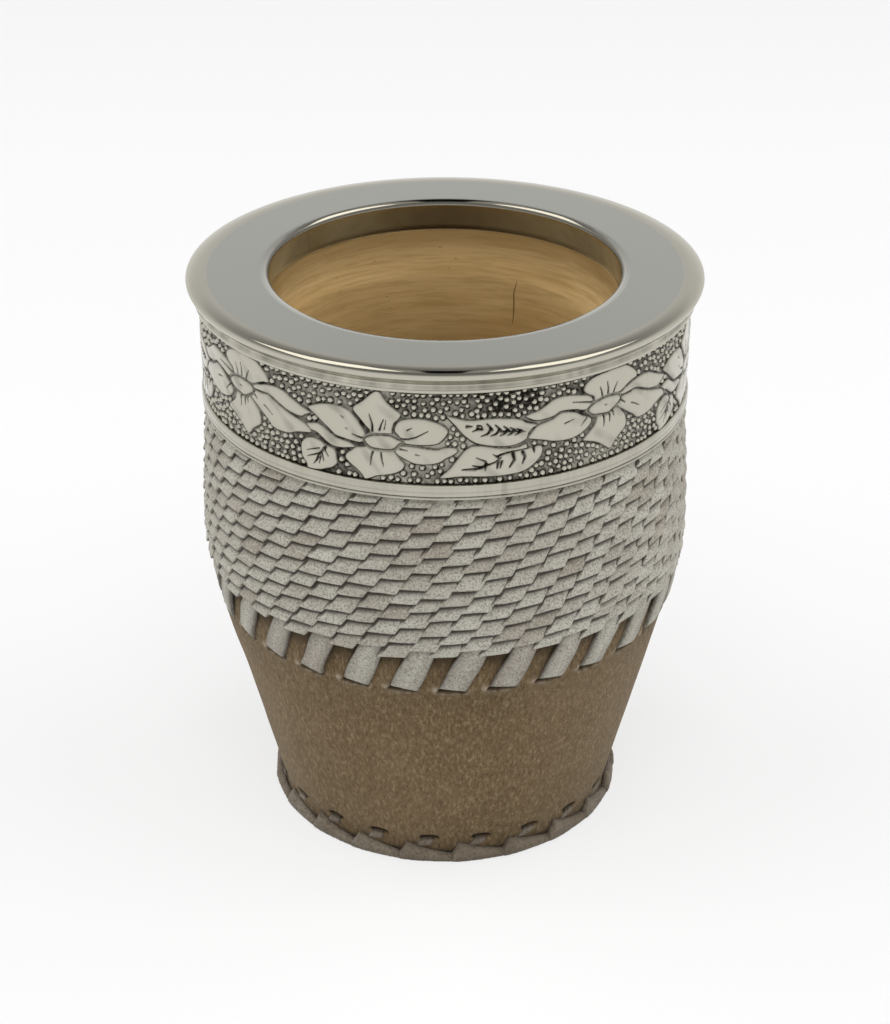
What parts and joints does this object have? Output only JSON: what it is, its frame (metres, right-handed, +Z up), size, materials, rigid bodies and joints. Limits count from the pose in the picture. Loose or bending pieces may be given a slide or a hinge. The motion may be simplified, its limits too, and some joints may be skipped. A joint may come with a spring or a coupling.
{
  "type": "mate cup",
  "caption": "Turned wooden mate cup in a laced suede cover, with a woven strap band and a chased metal rim; empty, open at the top.",
  "frame": {"origin": "centre of the flat underside, where the cup rests", "axes": "+Z up along the cup's axis, towards the mouth; -Y towards the side that was seen"},
  "size_m": [0.09, 0.09, 0.1038],
  "materials": {
    "wood": "turned, bare, fine rings",
    "suede": "brown suede",
    "strap": "pale grey suede straps",
    "metal": "polished beads, satin top, blackened ground in the relief"
  },
  "bodies": {
    "root": {"turned_cup": "wood", "leather_cover": "suede", "woven_band": "strap", "base_lacing": "strap", "base_disc": "suede", "chased_band": "metal", "trim_ring": "metal", "rim_ring": "metal"}
  },
  "joints": []
}
